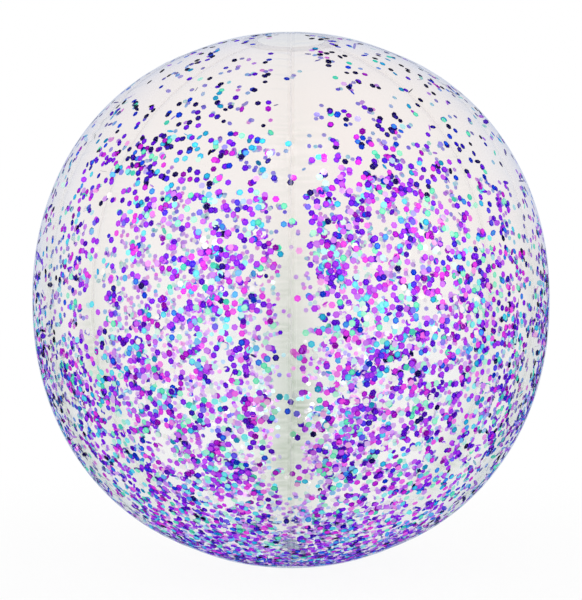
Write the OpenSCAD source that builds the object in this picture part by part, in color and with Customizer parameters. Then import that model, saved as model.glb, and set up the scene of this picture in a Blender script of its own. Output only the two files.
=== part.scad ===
// Clear inflatable beach ball: six welded gore panels, two end patches, a push-in air valve in the bottom
// patch and loose glitter flakes inside. Millimetres. The origin is the middle of the ball and +Z runs up
// the pole axis. A seam faces the front, -Y.

/* [Ball] */
// Radius at the equator
equator_r = 200; // [150:1:260]
// Half height of the outline, before the end patches flatten it
pole_h = 206; // [150:1:270]
// Fullness of the shoulders: 2 is an ellipse and more is squarer
fullness = 2.12; // [2:0.01:2.4]

/* [Film] */
// Thickness of the panels' film
film_t = 0.3; // [0.2:0.05:0.6]
// Width of the welded lap between two panels
lap_w = 6; // [4:0.5:10]
// Width of the step that takes a panel's edge down under its neighbour
joggle_w = 2; // [1:0.5:4]

/* [End patches] */
// Thickness of an end patch
patch_t = 0.4; // [0.2:0.05:0.8]
// Width of the flat foot outside the valve's flange
foot_w = 4; // [2:0.5:10]
// Distance from the flat foot to the cut tips of the panels
tip_gap = 4; // [2:0.5:10]
// Width of the ring where a patch is welded over the tips
patch_weld_w = 12; // [6:1:25]

/* [Valve] */
// Radius of the air bore
bore_r = 3.2; // [2:0.1:5]
// Step from the bore out to the mouth that the plug closes
mouth_step = 0.8; // [0.5:0.1:1.5]
// Wall of the stem round its mouth
stem_wall = 1; // [0.8:0.1:2]
// Length of the stem
stem_l = 13; // [11:0.5:20]
// Width of the rim round the stem's mouth
rim_w = 1.2; // [0.8:0.1:2]
// Thickness of the rim
rim_t = 1.2; // [0.8:0.1:2]
// Width of the flange that is welded to the bottom patch
flange_w = 6; // [4:0.5:12]
// Thickness of the flange
flange_t = 0.8; // [0.5:0.1:1.5]
// Thickness of the folding cup between flange and stem
web_t = 0.6; // [0.4:0.1:1]
// Height of the plug's face above the ground when the valve is pushed in
recess = 1; // [0.5:0.1:3]

/* [Plug] */
// Thickness of the plug's cap
cap_t = 1.6; // [1.2:0.1:2.5]
// Length of the nub that closes the mouth
nub_l = 4.5; // [3:0.1:5]
// Reach of the thumb lip past the cap
lip_reach = 1.6; // [1:0.1:2.5]
// Width of the strap and of the thumb lip
strap_w = 4; // [3:0.5:6]
// Length of the strap from the cap to its hinge
strap_l = 2; // [1.6:0.1:4]
// Angle that the plug swings open
plug_open = 115; // [90:1:120]

/* [Check flap] */
// Thickness of the flap
flap_t = 0.6; // [0.4:0.1:1]
// Overlap of the flap round the bore
flap_lap = 1.2; // [0.8:0.1:1.6]
// Width of the flap's hinge
flap_hinge_w = 3; // [2:0.5:5]

/* [Glitter] */
// Number of flakes in all
flake_count = 700; // [70:70:1400]
// Width of a hexagonal flake across its flats
flake_af = 4; // [2:0.5:6]
// Thickness of a flake
flake_t = 0.1; // [0.05:0.05:0.3]
// How far the flakes have sunk to the bottom: 1 is spread evenly
flake_spread = 0.72; // [0.5:0.01:1]

/* [Hidden] */
$fn = 96;
gores = 6;
gore_angle = 360 / gores;
meridian_steps = 44;
patch_steps = 8;
front_azimuth = -90;
golden_angle = 137.508;

// Clearances
bead_gap = 0.06;
web_gap = 0.03;
cup_gap = 0.8;
plug_gap = 0.1;
swing_gap = 1.2;
strap_lift = 0.2;
cling_gap = 0.2;

// Valve radii, from the bore outwards
mouth_r = bore_r + mouth_step;
stem_r = mouth_r + stem_wall;
rim_r = stem_r + rim_w;
hinge_r = rim_r + strap_l;
bead_r = 0.7;
lug_wall = 0.6;
lug_t = 1.8;

// Heights above the ground, up into the ball, and the hole that lets the open plug swing
rim_h = recess + cap_t;
stem_end_h = rim_h + stem_l;
swing_s = (rim_h - cap_t * cos(plug_open)) / sin(plug_open);
swing_reach = cap_t * sin(plug_open) - swing_s * cos(plug_open);
hole_r = hinge_r + swing_reach + swing_gap;

// Patch radii, from the valve outwards
flange_r = hole_r + flange_w;
flat_r = flange_r + foot_w;
tip_r = flat_r + tip_gap;
patch_r = tip_r + patch_weld_w;

// Check flap
flap_r = bore_r + flap_lap;
flap_bead_r = 0.5;
flap_hinge_r = stem_r + 1;
flap_bead_h = stem_end_h + flap_t / 2;
ear_wall = 0.5;
ear_t = 1.6;

// The folding cup stands straight past the strap's lug, then leans in and meets the stem below the flap's ear
cup_h = rim_h + lug_t + cup_gap;
web_top_h = stem_end_h - ear_t - 1;
web_band = 2 * web_t;

// The film's outline is a superellipse. Its angle runs from -90 at the bottom to 90 at the top.
outline_power = 2 / fullness;
function outline_angle(r) = acos(pow(r / equator_r, fullness / 2));
function outline(a) = [
    equator_r * pow(cos(a), outline_power),
    pole_h * sign(a) * pow(abs(sin(a)), outline_power)
];
function slope(a) = [
    pow(cos(a), 2 - outline_power) / equator_r,
    sign(a) * pow(abs(sin(a)), 2 - outline_power) / pole_h
];
function outward(a) = slope(a) / norm(slope(a));
function skin(a, depth) = outline(a) - depth * outward(a);

tip_angle = outline_angle(tip_r);
flat_angle = outline_angle(flat_r);
patch_angle = outline_angle(patch_r);
patch_top_z = skin(flat_angle, -patch_t)[1];
patch_under_z = skin(flat_angle, 0)[1];
patch_under_h = patch_top_z - patch_under_z;

lap_spread = asin((lap_w / 2 + joggle_w) / tip_r) + 2;
far = 2 * max(equator_r, pole_h);

PANELS = [
    "panel_front_right", "panel_right", "panel_back_right",
    "panel_back_left", "panel_left", "panel_front_left"
];
FLAKES = [
    "violet_flakes", "magenta_flakes", "indigo_flakes", "blue_flakes",
    "cyan_flakes", "mint_flakes", "pearl_flakes"
];
FLAKE_COLORS = ["#8B2FD6", "#D020D0", "#3010B0", "#2080D0", "#30D0E0", "#60F0C0", "#FFF8F0"];

// Half section of one layer of film from tip to tip, its outer face the given depth under the outline
module film_section(depth) {
    angles = [for (i = [0 : meridian_steps]) tip_angle * (2 * i / meridian_steps - 1)];
    outer = [for (i = [0 : meridian_steps]) skin(angles[i], depth)];
    inner = [for (i = [meridian_steps : -1 : 0]) skin(angles[i], depth + film_t)];
    polygon(concat(outer, inner));
}

// The sector of one panel, moved over so that it covers its own half of each seam's lap
module panel_sector() {
    translate([lap_w / 2 * tan(gore_angle / 2), -lap_w / 2, -far / 2])
        linear_extrude(far)
            polygon([[0, 0], [far, 0], far * [cos(gore_angle), sin(gore_angle)]]);
}

// The straight strip of a lap that lies under the next panel
module lap_strip() {
    translate([0, -lap_w / 2 - joggle_w, -far / 2])
        cube([far, lap_w + joggle_w, far]);
}

// One gore: the outer film, and the margin that steps down under its neighbour
module panel(k) {
    color("#E6EEF4")
        rotate(front_azimuth + k * gore_angle) {
            intersection() {
                rotate_extrude(angle = gore_angle + lap_spread, start = -lap_spread)
                    film_section(0);
                panel_sector();
            }
            intersection() {
                rotate_extrude(angle = 2 * lap_spread, start = gore_angle - lap_spread)
                    film_section(film_t);
                rotate(gore_angle)
                    lap_strip();
            }
        }
}

// A round patch welded over the tips, flat in the middle, with a hole of the given radius
module end_patch(hole) {
    angles = [for (i = [0 : patch_steps]) patch_angle + (flat_angle - patch_angle) * i / patch_steps];
    outer = [for (i = [0 : patch_steps]) skin(angles[i], -patch_t)];
    under = [for (i = [patch_steps : -1 : 0]) skin(angles[i], 0)];
    color("#DDE8F0")
        rotate_extrude()
            polygon(concat(outer, [[hole, patch_top_z], [hole, patch_under_z]], under));
}

module top_patch() {
    end_patch(0);
}

module bottom_patch() {
    mirror([0, 0, 1])
        end_patch(hole_r);
}

// Everything in the valve is placed by its height above the ground
module from_ground(h) {
    translate([0, 0, h - patch_top_z])
        children();
}

module tube(outer_r, inner_r, length) {
    difference() {
        cylinder(r = outer_r, h = length);
        translate([0, 0, -length])
            cylinder(r = inner_r, h = 3 * length);
    }
}

module bead(radius, width) {
    rotate([90, 0, 0])
        cylinder(r = radius, h = width, center = true);
}

module valve_flange() {
    color("#D4E2EC")
        from_ground(patch_under_h)
            tube(flange_r, hole_r, flange_t);
}

// The cup that folds when the valve is pulled out: from the flange's inner edge up to the stem
module valve_web() {
    color("#CADCE8")
        from_ground(0)
            rotate_extrude()
                polygon([
                    [hole_r - web_t, patch_under_h],
                    [hole_r, patch_under_h],
                    [hole_r, cup_h],
                    [stem_r + web_gap, web_top_h],
                    [stem_r + web_gap, web_top_h - web_band],
                    [hole_r - web_t, cup_h - web_t / 2]
                ]);
}

// The lug that holds the strap's bead and the ear that holds the flap's
module stem_hinges() {
    from_ground(rim_h)
        translate([mouth_r, -strap_w / 2, 0])
            cube([hinge_r + bead_r + lug_wall - mouth_r, strap_w, lug_t]);
    from_ground(stem_end_h - ear_t)
        translate([-flap_hinge_r - flap_bead_r - ear_wall, -flap_hinge_w / 2, 0])
            cube([flap_hinge_r + flap_bead_r + ear_wall - bore_r, flap_hinge_w, ear_t]);
}

module valve_stem() {
    color("#C2D6E4")
        difference() {
            union() {
                from_ground(rim_h) {
                    cylinder(r = stem_r, h = stem_l);
                    cylinder(r = rim_r, h = rim_t);
                }
                stem_hinges();
            }
            from_ground(0)
                cylinder(r = bore_r, h = 2 * stem_end_h);
            from_ground(0)
                cylinder(r = mouth_r, h = rim_h + nub_l + plug_gap);
            from_ground(rim_h)
                translate([hinge_r, 0, 0])
                    bead(bead_r + bead_gap, 2 * strap_w);
            from_ground(flap_bead_h)
                translate([-flap_hinge_r, 0, 0])
                    bead(flap_bead_r + bead_gap, 2 * flap_hinge_w);
        }
}

// The cap with its thumb lip, and the nub, tapered so that its tip swings clear of the mouth's far edge
nub_r = mouth_r - plug_gap;
nub_swing_r = hinge_r + nub_r;
nub_tip_r = sqrt(pow(nub_swing_r, 2) - pow(nub_l, 2)) - hinge_r;

module valve_plug() {
    color("#B8D0E0") {
        from_ground(recess) {
            cylinder(r = rim_r, h = cap_t);
            translate([-rim_r - lip_reach, -strap_w / 2, 0])
                cube([rim_r + lip_reach, strap_w, cap_t / 2]);
        }
        from_ground(rim_h)
            cylinder(r1 = nub_r, r2 = nub_tip_r, h = nub_l);
    }
}

// The thin strap from the cap to the round bead on its hinge line
module plug_strap() {
    color("#B0CADC")
        difference() {
            union() {
                from_ground(rim_h - bead_r)
                    translate([0, -strap_w / 2, 0])
                        cube([hinge_r, strap_w, bead_r - strap_lift]);
                from_ground(rim_h)
                    translate([hinge_r, 0, 0])
                        bead(bead_r, strap_w);
            }
            from_ground(recess)
                cylinder(r = rim_r, h = cap_t);
        }
}

// The flap that air pressure holds shut over the inner end of the bore
module check_flap() {
    color("#A8C4D8") {
        from_ground(stem_end_h) {
            cylinder(r = flap_r, h = flap_t);
            translate([-flap_hinge_r, -flap_hinge_w / 2, 0])
                cube([flap_hinge_r, flap_hinge_w, flap_t]);
        }
        from_ground(flap_bead_h)
            translate([-flap_hinge_r, 0, 0])
                bead(flap_bead_r, flap_hinge_w);
    }
}

// Flakes cling to the inner wall along a golden-angle spiral, closer together towards the bottom.
// They keep off the laps and off the end patches.
flake_r = flake_af / 2 / cos(30);
flake_top_angle = outline_angle(patch_r + 3 * flake_r);
lap_half_w = lap_w / 2 + joggle_w + flake_r;
function flake_angle(i) = asin(1 - 2 * pow((i + 0.5) / flake_count, flake_spread));
function flake_turn(i) = (i * golden_angle) % gore_angle;
function seam_distance(i) = outline(flake_angle(i))[0] * min(
    sin(flake_turn(i)),
    sin(gore_angle - flake_turn(i))
);

module flakes(k) {
    color(FLAKE_COLORS[k])
        for (i = [k : len(FLAKES) : flake_count - 1]) {
            a = flake_angle(i);
            seat = skin(a, film_t + cling_gap + flake_t);
            if (abs(a) < flake_top_angle && seam_distance(i) > lap_half_w)
                rotate(front_azimuth + i * golden_angle)
                    translate([seat[0], 0, seat[1]])
                        rotate([0, atan2(outward(a)[0], outward(a)[1]), 0])
                            rotate(i * golden_angle)
                                cylinder(r = flake_r, h = flake_t, $fn = 6);
        }
}

for (k = [0 : gores - 1])
    panel(k);
top_patch();
bottom_patch();
valve_flange();
valve_web();
valve_stem();
valve_plug();
plug_strap();
check_flap();
for (k = [0 : len(FLAKES) - 1])
    flakes(k);
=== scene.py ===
"""Clear inflatable beach ball with loose glitter inside.

Metres, in the frame of the solids: the origin is the middle of the ball, +Z is the pole axis and a welded
seam faces the camera at -Y. Angles are in radians. An azimuth is counted from +X, and an outline angle runs
from -90 degrees at the bottom pole to 90 at the top one.
"""

import bpy
import numpy as np
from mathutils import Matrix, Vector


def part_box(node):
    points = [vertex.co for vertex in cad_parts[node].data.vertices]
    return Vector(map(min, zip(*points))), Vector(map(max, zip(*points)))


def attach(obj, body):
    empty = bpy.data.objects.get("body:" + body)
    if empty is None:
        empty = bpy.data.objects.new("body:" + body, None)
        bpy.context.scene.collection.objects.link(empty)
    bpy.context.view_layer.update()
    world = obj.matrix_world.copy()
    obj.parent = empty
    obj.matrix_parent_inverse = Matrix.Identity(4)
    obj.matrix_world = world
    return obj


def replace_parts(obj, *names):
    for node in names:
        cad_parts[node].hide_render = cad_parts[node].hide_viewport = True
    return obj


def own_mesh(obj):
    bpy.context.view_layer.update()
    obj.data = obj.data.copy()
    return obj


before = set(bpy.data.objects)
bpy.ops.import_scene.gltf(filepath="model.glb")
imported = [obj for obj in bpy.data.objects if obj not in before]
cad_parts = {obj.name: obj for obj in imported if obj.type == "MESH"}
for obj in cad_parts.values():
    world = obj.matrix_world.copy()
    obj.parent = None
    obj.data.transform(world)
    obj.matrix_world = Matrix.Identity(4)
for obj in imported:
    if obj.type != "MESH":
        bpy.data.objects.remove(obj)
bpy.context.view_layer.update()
SEED = 41
rng = np.random.default_rng(SEED)

MM = 0.001
DEG = np.pi / 180

# Sizes that the solids have
EQUATOR_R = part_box("panel_right")[1].x
POLE_H = 206 * MM
FULLNESS = 2.12
FILM_T = 0.3 * MM
LAP_W = 6 * MM
JOGGLE_W = 2 * MM
PATCH_T = 0.4 * MM
PATCH_LAP = 12 * MM
PATCH_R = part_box("top_patch")[1].x
TIP_R = PATCH_R - PATCH_LAP
FLAT_INSET = 4 * MM
FLAT_R = TIP_R - FLAT_INSET
GROUND_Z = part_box("bottom_patch")[0].z
HOLE_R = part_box("valve_web")[1].x
FLANGE_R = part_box("valve_flange")[1].x
FLANGE_LOW_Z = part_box("valve_flange")[0].z
FLANGE_TOP_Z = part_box("valve_flange")[1].z
WEB_LOW_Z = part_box("valve_web")[0].z
WEB_TOP_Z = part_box("valve_web")[1].z
WEB_T = 0.6 * MM
FLAKE_AF = 4 * MM
FLAKE_T = 0.1 * MM

# Valve sizes: radii from the pole axis and heights above the ground
BORE_R = 3.2 * MM
MOUTH_R = 4 * MM
STEM_R = 5 * MM
STEM_END_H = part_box("valve_stem")[1].z - GROUND_Z
RIM_R = 6.2 * MM
RIM_T = 1.2 * MM
HINGE_R = 8.2 * MM
BEAD_R = 0.7 * MM
BEAD_GAP = 0.06 * MM
SEAT_GAP = 0.02 * MM
STRAP_W = 4 * MM
RECESS = 1 * MM
CAP_T = 1.6 * MM
RIM_H = RECESS + CAP_T
NUB_L = 4.5 * MM
NUB_GAP = 0.1 * MM
NUB_R = MOUTH_R - NUB_GAP
LIP_REACH = 1.6 * MM
FLAP_T = 0.6 * MM
FLAP_COVER = 1.2 * MM
FLAP_R = BORE_R + FLAP_COVER
FLAP_HINGE_OUT = 1 * MM
FLAP_HINGE_R = STEM_R + FLAP_HINGE_OUT
FLAP_BEAD_R = 0.5 * MM
FLAP_HINGE_W = 3 * MM

GORES = 6
GORE_ANGLE = 2 * np.pi / GORES
FRONT = -np.pi / 2
PANELS = ["panel_front_right", "panel_right", "panel_back_right", "panel_back_left", "panel_left",
          "panel_front_left"]


# Shape of the ball

def smooth(t):
    """Ease from 0 to 1 as t goes from 0 to 1: 3 t squared less 2 t cubed."""
    t = np.clip(t, 0, 1)
    return t * t * (3 - 2 * t)


def ramp(value, start, end):
    """Ease from 0 to 1 as a value goes from start to end, whichever of the two is the higher."""
    return smooth((value - start) / (end - start))


def outline(angle):
    """Superellipse meridian: the radius is the equator's times cos to the power 2/n, the height the pole's
    times sin to the same power. Also gives the outward direction, from the gradient of that curve."""
    power = 2 / FULLNESS
    c, s = np.abs(np.cos(angle)), np.abs(np.sin(angle))
    side = np.sign(angle)
    out_r = c ** (2 - power) / EQUATOR_R
    out_z = side * s ** (2 - power) / POLE_H
    size = np.hypot(out_r, out_z)
    return EQUATOR_R * c ** power, POLE_H * side * s ** power, out_r / size, out_z / size


def outline_angle(radius):
    """Outline angle, above the equator, at which the meridian has the given radius."""
    return np.arccos((radius / EQUATOR_R) ** (FULLNESS / 2))


# Table of the length of film along the meridian
RUN_POINTS = 4001
RUN_ANGLES = np.linspace(-np.pi / 2, np.pi / 2, RUN_POINTS)
RUN_R, RUN_Z = outline(RUN_ANGLES)[:2]
RUN = np.concatenate([[0], np.cumsum(np.hypot(np.diff(RUN_R), np.diff(RUN_Z)))])


def run_along(angle):
    """Length of film from the bottom pole up the meridian to an outline angle."""
    return np.interp(angle, RUN_ANGLES, RUN)


# Relief of the blown film: how far the seams draw it in, and the puckers beside them
SEAM_INSET = 1.8 * MM
SEAM_REACH = 20 * MM
PUCKER = 0.55 * MM
PUCKER_REACH = 6 * MM
PUCKER_PITCH = 13 * MM
FINE_PITCH = 9.1 * MM
FINE_SHARE = 0.6
WANDER = 1.7
WANDER_PITCH = 73 * MM
PATCHY_PITCH = 151 * MM
PATCHY_SWING = 0.45
SEAM_PHASE = rng.uniform(0, 2 * np.pi, (GORES, 2, 4))

# Distances from an end patch at which the relief sets in, and over which it grows
RELIEF_START = 2 * MM
PUCKER_GROWTH = 120 * MM
INSET_GROWTH = 45 * MM


def seam_distance(turn, radius):
    """Number of the nearest seam and the signed distance across the film to it."""
    k = np.round((turn - FRONT) / GORE_ANGLE)
    return k.astype(int) % GORES, radius * np.sin(turn - FRONT - k * GORE_ANGLE)


def wave_along(run, pitch, phase):
    """Sine of a length of film, with a pitch and a phase."""
    return np.sin(2 * np.pi * run / pitch + phase)


def relief(turn, angle, radius):
    """Height of the blown film over the outline. The seams hold it in by an amount that dies away with
    distance, and puckers run square to each seam: two sines along the meridian whose phase wanders, times a
    hump that is highest one reach from the seam. Both fade out at the end patches."""
    k, across = seam_distance(turn, radius)
    away = np.abs(across)
    phase = SEAM_PHASE[k, (across > 0).astype(int)]
    run = run_along(angle)
    wander = WANDER * wave_along(run, WANDER_PITCH, phase[..., 0])
    wave = wave_along(run, PUCKER_PITCH, phase[..., 1] + wander)
    wave = wave + FINE_SHARE * wave_along(run, FINE_PITCH, phase[..., 2] - wander)
    patchy = 1 - PATCHY_SWING + PATCHY_SWING * wave_along(run, PATCHY_PITCH, phase[..., 3])
    hump = away / PUCKER_REACH * np.exp(1 - away / PUCKER_REACH)
    beyond = radius - PATCH_R - RELIEF_START
    pucker = PUCKER * patchy * wave * hump * smooth(beyond / PUCKER_GROWTH)
    return pucker - SEAM_INSET * np.exp(-away / SEAM_REACH) * smooth(beyond / INSET_GROWTH)


def wall(turn, angle, depth):
    """Points of the film: the outline turned round the pole axis, moved out by the relief less a depth."""
    radius, height, out_r, out_z = outline(angle)
    proud = relief(turn, angle, radius) - depth
    r = radius + proud * out_r
    return np.stack([r * np.cos(turn), r * np.sin(turn), height + proud * out_z], -1)


# Meshes

def grid_quads(rows, columns, ring):
    """Corner numbers of the quads of a grid, with the last column joined to the first one on a ring."""
    i = np.arange(rows - 1)[:, None]
    j = np.arange(columns if ring else columns - 1)[None]
    k = (j + 1) % columns
    corners = [i * columns + j, i * columns + k, (i + 1) * columns + k, (i + 1) * columns + j]
    return np.stack(corners, -1).reshape(-1, 4)


def new_piece(name, points, faces, material, values, body, smooth_faces=True):
    """Mesh object at the origin, with one float attribute for each entry of values, on points or faces."""
    mesh = bpy.data.meshes.new(name)
    mesh.from_pydata(points.reshape(-1, 3).tolist(), [], faces)
    for key, field in values.items():
        spot = "POINT" if field.size == len(mesh.vertices) else "FACE"
        attribute = mesh.attributes.new(key, "FLOAT", spot)
        attribute.data.foreach_set("value", field.astype(np.float32).ravel())
    mesh.polygons.foreach_set("use_smooth", np.full(len(mesh.polygons), smooth_faces))
    mesh.materials.append(material)
    mesh.update()
    piece = bpy.data.objects.new(name, mesh)
    bpy.context.scene.collection.objects.link(piece)
    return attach(piece, body)


def shell(name, outer, inner, material, values, ring=False):
    """Closed sheet between two grids of points, with quads round its edges. Values are on the grid."""
    rows, columns = outer.shape[:2]
    count = rows * columns
    quads = grid_quads(rows, columns, ring)
    number = np.arange(count).reshape(rows, columns)
    low, high = number[0], number[-1]
    if ring:
        rims = [(low, 1), (high, -1)]
    else:
        rims = [(np.concatenate([low, number[1:, -1], high[-2::-1], number[-2:0:-1, 0]]), 1)]
    faces = [quads, quads[:, ::-1] + count]
    for rim, way in rims:
        after = np.roll(rim, -1)
        faces.append(np.stack([after, rim, rim + count, after + count], -1)[:, ::way])
    both = {key: np.stack([field, field]) for key, field in values.items()}
    points = np.stack([outer, inner])
    return new_piece(name, points, np.concatenate(faces).tolist(), material, both, "ball")


# Points of a rounded corner, of an arc, of a full turn and of a bar's edge, and a bar's directions
CORNER_POINTS = 5
NEARLY_HALF = 0.45
ARC_POINTS = 25
TURN_COLUMNS = 96
EDGE_ROWS = 4
SIDEWAYS = np.array([(1, 0, 0), (0, 0, 1), (0, -1, 0)])
UPWARDS = np.eye(3)


def rounded(corners, radius):
    """Closed outline with eased corners. Each corner becomes a parabola, (1 - t)^2 start + 2 t (1 - t)
    corner + t^2 end, that leaves the sides one radius from the corner, or nearly half a side where that is
    shorter."""
    corner = np.array(corners)
    back, on = np.roll(corner, 1, 0) - corner, np.roll(corner, -1, 0) - corner
    back_l, on_l = np.linalg.norm(back, axis=1)[:, None], np.linalg.norm(on, axis=1)[:, None]
    start = (corner + back * np.minimum(radius / back_l, NEARLY_HALF))[:, None]
    end = (corner + on * np.minimum(radius / on_l, NEARLY_HALF))[:, None]
    t = np.linspace(0, 1, CORNER_POINTS)[None, :, None]
    return ((1 - t) ** 2 * start + 2 * t * (1 - t) * corner[:, None] + t * t * end).reshape(-1, 2)


def rounded_to_axis(corners, radius):
    """Eased outline whose first and last corner lie on the pole axis and stay sharp."""
    eased = rounded(corners, radius)[CORNER_POINTS:-CORNER_POINTS]
    return np.concatenate([[corners[0]], eased, [corners[-1]]])


def arc(middle, radius, start, end):
    """Points of a circle's arc in a plane, from one angle to another."""
    angle = np.linspace(start, end, ARC_POINTS)
    return np.stack([middle[0] + radius * np.cos(angle), middle[1] + radius * np.sin(angle)], -1).tolist()


def turned(profile):
    """Closed profile of radius and height above the ground, anticlockwise, turned round the pole axis."""
    turn = np.linspace(0, 2 * np.pi, TURN_COLUMNS, endpoint=False)[None]
    r, z = profile[:, :1], profile[:, 1:] + GROUND_Z
    points = np.stack([r * np.cos(turn), r * np.sin(turn), z + 0 * turn], -1)
    quads = grid_quads(len(profile) + 1, TURN_COLUMNS, True) % (len(profile) * TURN_COLUMNS)
    return points.reshape(-1, 3), quads.tolist()


def turned_solid(profile):
    """Profile from the pole axis out and back to it, anticlockwise, turned round the axis. Its two ends are
    single points, each with a fan of triangles."""
    points, quads = turned(profile[1:-1])
    rings = len(profile) - 2
    ends = profile[[0, -1], 1] + GROUND_Z
    poles = np.stack([0 * ends, 0 * ends, ends], -1)
    first = np.arange(TURN_COLUMNS)
    after = np.roll(first, -1)
    last, low, high = (rings - 1) * TURN_COLUMNS, rings * TURN_COLUMNS, rings * TURN_COLUMNS + 1
    fans = np.concatenate([np.stack([0 * first + low, after, first], -1),
                           np.stack([first + last, after + last, 0 * first + high], -1)])
    return np.concatenate([points, poles]), quads[:last] + fans.tolist()


def bar(section, low, high, edge, axes):
    """Anticlockwise section carried along a straight path from low to high. Towards both ends it draws in
    along a quarter circle of the edge radius. The axes give the section's two directions and the path's."""
    bend = np.linspace(np.pi / 2, 0, EDGE_ROWS)
    inset, rise = edge * (1 - np.cos(bend)), edge * (1 - np.sin(bend))
    along = np.concatenate([low + rise, (high - rise)[::-1]])[:, None, None]
    inset = np.concatenate([inset, inset[::-1]])[:, None, None]
    ahead = np.roll(section, -1, 0) - np.roll(section, 1, 0)
    inward = np.stack([-ahead[:, 1], ahead[:, 0]], -1) / np.linalg.norm(ahead, axis=1)[:, None]
    rings = section[None] + inset * inward[None]
    points = rings[..., :1] * axes[0] + rings[..., 1:] * axes[1] + along * axes[2]
    rows, columns = rings.shape[:2]
    caps = [list(range(columns))[::-1], list(range((rows - 1) * columns, rows * columns))]
    return points.reshape(-1, 3) + (0, 0, GROUND_Z), grid_quads(rows, columns, True).tolist() + caps


def moulding(name, node, body, shells):
    """One soft moulded piece of closed shells, each with its points and faces, in place of its solid."""
    starts = np.cumsum([0] + [len(own_points) for own_points, _ in shells])
    points = np.concatenate([own_points for own_points, _ in shells])
    faces = [[corner + start for corner in face]
             for start, (_, own_faces) in zip(starts, shells) for face in own_faces]
    piece = new_piece(name, points, faces, SOFT_PVC, {}, body)
    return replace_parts(piece, node)


# Materials

WHITE = (1, 1, 1, 1)


def ink(code):
    """Linear colour of an sRGB hex value."""
    value = np.array([int(code[i:i + 2], 16) for i in (1, 3, 5)]) / 255
    return (*np.where(value <= 0.04045, value / 12.92, ((value + 0.055) / 1.055) ** 2.4), 1)


def add(tree, kind, sockets=None, **settings):
    """Add a node, set its properties, and give its input sockets values or links."""
    made = tree.nodes.new(kind)
    for key, value in settings.items():
        setattr(made, key, value)
    for key, value in (sockets or {}).items():
        if isinstance(value, bpy.types.NodeSocket):
            tree.links.new(value, made.inputs[key])
        else:
            made.inputs[key].default_value = value
    return made


def new_tree(owner):
    """Empty node tree of a material or a world."""
    owner.use_nodes = True
    owner.node_tree.nodes.clear()
    return owner.node_tree


# Clear PVC: its orange peel, its denser edges, the painted shade of its creases and seams, its fused laps,
# and the drift of its cast
PEEL_W = 9 * MM
PEEL_DEPTH = 0.4 * MM
EDGE_POWER = 4.0
EDGE_SHINE = 6.0
CREASE_SHADE_TINT = "#E4E9E2"
FUSED_CLEARER = 0.4
CLOUD_SHARE = 0.6
RISE_SHARE = 0.4
CAST_START = 0.35
CAST_END = 0.65


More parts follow.
